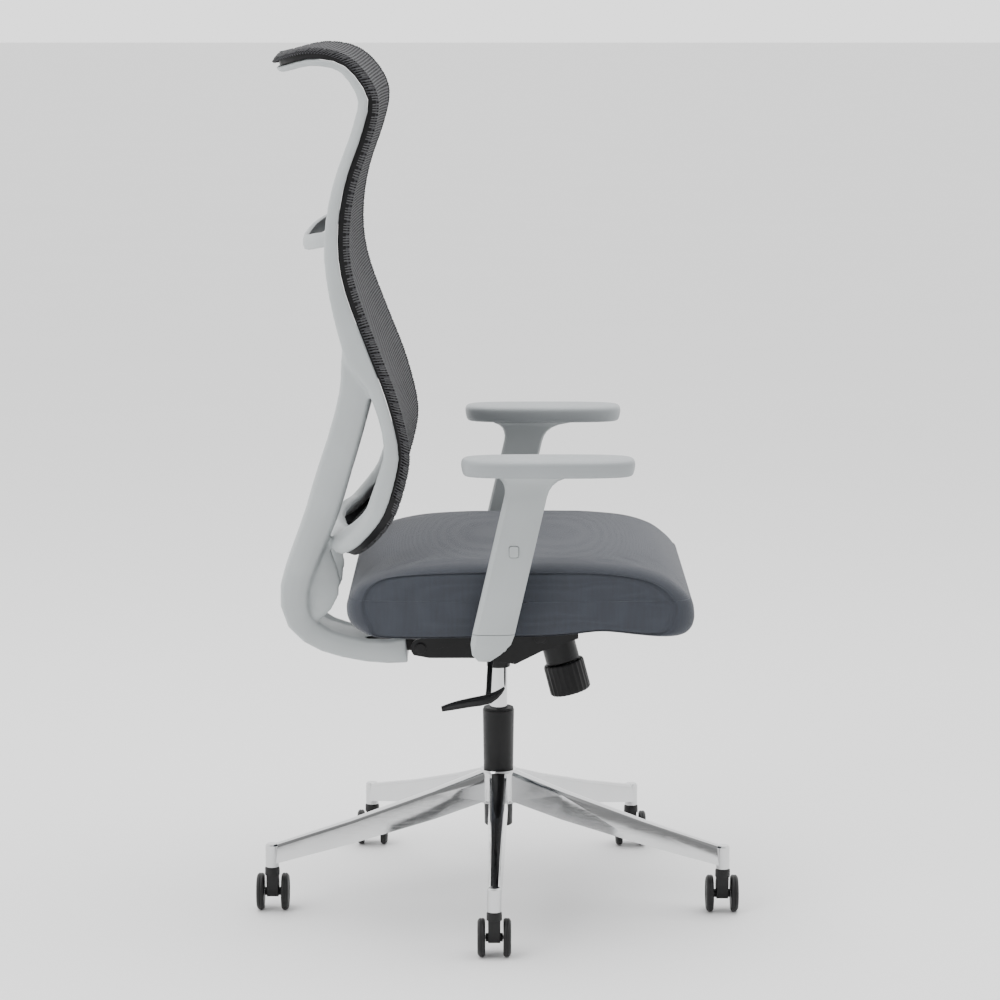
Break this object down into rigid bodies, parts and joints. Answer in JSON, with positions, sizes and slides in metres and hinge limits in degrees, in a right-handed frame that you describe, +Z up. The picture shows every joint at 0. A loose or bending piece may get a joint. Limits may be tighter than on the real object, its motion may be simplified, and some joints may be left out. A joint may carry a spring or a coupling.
{
  "type": "office chair",
  "caption": "High-back office chair: mesh back on a swept frame, padded seat, height-adjustable arms, reclining mechanism, gas lift and star base on casters.",
  "frame": {"origin": "on the floor, on the axis of the gas lift", "axes": "+X the way the sitter faces, +Y the sitter's left, +Z up"},
  "size_m": [0.6829, 0.6785, 1.2166],
  "materials": {
    "polished_aluminium": "polished",
    "chrome": "mirror",
    "black_nylon": "fine texture",
    "charcoal_nylon": "fine texture",
    "grey_nylon": "satin",
    "grey_pad": "soft satin",
    "black_steel": "satin",
    "bright_steel": "plain",
    "seat_fabric": "woven",
    "mesh_fabric": "open woven mesh"
  },
  "bodies": {
    "base": {"star_base": "polished_aluminium", "lift_outer_tube": "black_steel", "lift_guide_bush": "charcoal_nylon", "lift_thrust_bearing": "bright_steel", "caster_1_stem": "bright_steel", "caster_2_stem": "bright_steel", "caster_3_stem": "bright_steel", "caster_4_stem": "bright_steel", "caster_5_stem": "bright_steel"},
    "caster_1": {"caster_1_housing": "charcoal_nylon", "caster_1_axle": "bright_steel"},
    "caster_1_right_wheel": {"caster_1_wheel_right": "charcoal_nylon"},
    "caster_1_left_wheel": {"caster_1_wheel_left": "charcoal_nylon"},
    "caster_2": {"caster_2_housing": "charcoal_nylon", "caster_2_axle": "bright_steel"},
    "caster_2_right_wheel": {"caster_2_wheel_right": "charcoal_nylon"},
    "caster_2_left_wheel": {"caster_2_wheel_left": "charcoal_nylon"},
    "caster_3": {"caster_3_housing": "charcoal_nylon", "caster_3_axle": "bright_steel"},
    "caster_3_right_wheel": {"caster_3_wheel_right": "charcoal_nylon"},
    "caster_3_left_wheel": {"caster_3_wheel_left": "charcoal_nylon"},
    "caster_4": {"caster_4_housing": "charcoal_nylon", "caster_4_axle": "bright_steel"},
    "caster_4_right_wheel": {"caster_4_wheel_right": "charcoal_nylon"},
    "caster_4_left_wheel": {"caster_4_wheel_left": "charcoal_nylon"},
    "caster_5": {"caster_5_housing": "charcoal_nylon", "caster_5_axle": "bright_steel"},
    "caster_5_right_wheel": {"caster_5_wheel_right": "charcoal_nylon"},
    "caster_5_left_wheel": {"caster_5_wheel_left": "charcoal_nylon"},
    "lift_rod": {"lift_piston_rod": "bright_steel"},
    "mechanism": {"lift_cylinder": "chrome", "mech_housing": "black_steel", "recline_pin": "black_steel", "seat_tilt_pin": "black_steel", "recline_spring": "bright_steel"},
    "release_pin": {"lift_release_pin": "bright_steel"},
    "tension": {"tension_knob": "black_nylon", "tension_bolt": "bright_steel"},
    "height_lever": {"height_lever": "black_steel", "height_lever_paddle": "black_nylon"},
    "tilt_lock": {"tilt_lock_lever": "black_nylon"},
    "seat": {"mech_seat_plate": "black_steel", "seat_shell": "black_nylon", "seat_cushion": "seat_fabric", "arm_right_bracket": "grey_nylon", "arm_right_post": "black_steel", "arm_left_bracket": "grey_nylon", "arm_left_post": "black_steel"},
    "arm_right": {"arm_right_sleeve": "grey_nylon", "arm_right_pad": "grey_pad"},
    "arm_right_button": {"arm_right_height_button": "grey_nylon"},
    "arm_left": {"arm_left_sleeve": "grey_nylon", "arm_left_pad": "grey_pad"},
    "arm_left_button": {"arm_left_height_button": "grey_nylon"},
    "back": {"back_arm": "black_steel", "back_frame": "grey_nylon", "mesh_carrier": "black_nylon", "back_mesh": "mesh_fabric", "hanger_rail": "grey_nylon"}
  },
  "joints": [
    {"name": "caster_1_swivel", "type": "hinge", "parent": "base", "child": "caster_1", "pos_m": [-0.00555, -0.33495, 0.07], "axis": [0, 0, 1], "continuous": true},
    {"name": "caster_1_right_roll", "type": "hinge", "parent": "caster_1", "child": "caster_1_right_wheel", "pos_m": [-0.00555, -0.32295, 0.026], "axis": [1, 0, 0], "continuous": true},
    {"name": "caster_1_left_roll", "type": "hinge", "parent": "caster_1", "child": "caster_1_left_wheel", "pos_m": [-0.00555, -0.32295, 0.026], "axis": [1, 0, 0], "continuous": true},
    {"name": "caster_2_swivel", "type": "hinge", "parent": "base", "child": "caster_2", "pos_m": [0.31684, -0.10879, 0.07], "axis": [0, 0, 1], "continuous": true},
    {"name": "caster_2_right_roll", "type": "hinge", "parent": "caster_2", "child": "caster_2_right_wheel", "pos_m": [0.31684, -0.09679, 0.026], "axis": [1, 0, 0], "continuous": true},
    {"name": "caster_2_left_roll", "type": "hinge", "parent": "caster_2", "child": "caster_2_left_wheel", "pos_m": [0.31684, -0.09679, 0.026], "axis": [1, 0, 0], "continuous": true},
    {"name": "caster_3_swivel", "type": "hinge", "parent": "base", "child": "caster_3", "pos_m": [0.20137, 0.26772, 0.07], "axis": [0, 0, 1], "continuous": true},
    {"name": "caster_3_right_roll", "type": "hinge", "parent": "caster_3", "child": "caster_3_right_wheel", "pos_m": [0.20137, 0.27972, 0.026], "axis": [1, 0, 0], "continuous": true},
    {"name": "caster_3_left_roll", "type": "hinge", "parent": "caster_3", "child": "caster_3_left_wheel", "pos_m": [0.20137, 0.27972, 0.026], "axis": [1, 0, 0], "continuous": true},
    {"name": "caster_4_swivel", "type": "hinge", "parent": "base", "child": "caster_4", "pos_m": [-0.19239, 0.27425, 0.07], "axis": [0, 0, 1], "continuous": true},
    {"name": "caster_4_right_roll", "type": "hinge", "parent": "caster_4", "child": "caster_4_right_wheel", "pos_m": [-0.19239, 0.28625, 0.026], "axis": [1, 0, 0], "continuous": true},
    {"name": "caster_4_left_roll", "type": "hinge", "parent": "caster_4", "child": "caster_4_left_wheel", "pos_m": [-0.19239, 0.28625, 0.026], "axis": [1, 0, 0], "continuous": true},
    {"name": "caster_5_swivel", "type": "hinge", "parent": "base", "child": "caster_5", "pos_m": [-0.32028, -0.09822, 0.07], "axis": [0, 0, 1], "continuous": true},
    {"name": "caster_5_right_roll", "type": "hinge", "parent": "caster_5", "child": "caster_5_right_wheel", "pos_m": [-0.32028, -0.08622, 0.026], "axis": [1, 0, 0], "continuous": true},
    {"name": "caster_5_left_roll", "type": "hinge", "parent": "caster_5", "child": "caster_5_left_wheel", "pos_m": [-0.32028, -0.08622, 0.026], "axis": [1, 0, 0], "continuous": true},
    {"name": "seat_swivel", "type": "hinge", "parent": "base", "child": "lift_rod", "pos_m": [0, 0, 0.2], "axis": [0, 0, 1], "continuous": true},
    {"name": "seat_lift", "type": "slide", "parent": "lift_rod", "child": "mechanism", "axis": [0, 0, 1], "range_m": [-0.055, 0.045]},
    {"name": "back_recline", "type": "hinge", "parent": "mechanism", "child": "back", "pos_m": [-0.11, 0, 0.372], "axis": [0, -1, 0], "range_deg": [0, 20], "stiffness_Nm_per_rad": 90, "springref_deg": -20.05},
    {"name": "seat_tilt", "type": "hinge", "parent": "mechanism", "child": "seat", "pos_m": [0.06, 0, 0.389], "axis": [0, -1, 0], "range_deg": [0, 7.2]},
    {"name": "height_lever_lift", "type": "hinge", "parent": "mechanism", "child": "height_lever", "pos_m": [-0.01, -0.06, 0.391], "axis": [-1, 0, 0], "range_deg": [0, 4], "stiffness_Nm_per_rad": 2, "springref_deg": -17.19},
    {"name": "release_pin_press", "type": "slide", "parent": "mechanism", "child": "release_pin", "axis": [0, 0, -1], "range_m": [0, 0.004]},
    {"name": "tilt_lock_turn", "type": "hinge", "parent": "mechanism", "child": "tilt_lock", "pos_m": [0.035, 0.06, 0.391], "axis": [1, 0, 0], "range_deg": [0, 10]},
    {"name": "tension_turn", "type": "hinge", "parent": "mechanism", "child": "tension", "pos_m": [0.0925, 0, 0.342], "axis": [-0.2538, 0, 0.9673], "continuous": true},
    {"name": "arm_right_height", "type": "slide", "parent": "seat", "child": "arm_right", "axis": [0.225, 0, 0.9744], "range_m": [0, 0.075]},
    {"name": "arm_right_button_press", "type": "slide", "parent": "arm_right", "child": "arm_right_button", "axis": [0, 1, 0], "range_m": [0, 0.0015], "stiffness_N_per_m": 600, "springref_m": -0.001},
    {"name": "arm_left_height", "type": "slide", "parent": "seat", "child": "arm_left", "axis": [0.225, 0, 0.9744], "range_m": [0, 0.075]},
    {"name": "arm_left_button_press", "type": "slide", "parent": "arm_left", "child": "arm_left_button", "axis": [0, -1, 0], "range_m": [0, 0.0015], "stiffness_N_per_m": 600, "springref_m": -0.001}
  ],
  "couplings": [
    {"joint": "seat_tilt", "follows": "back_recline", "ratio": 0.35},
    {"joint": "release_pin_press", "follows": "height_lever_lift", "m_per_rad": 0.057}
  ]
}
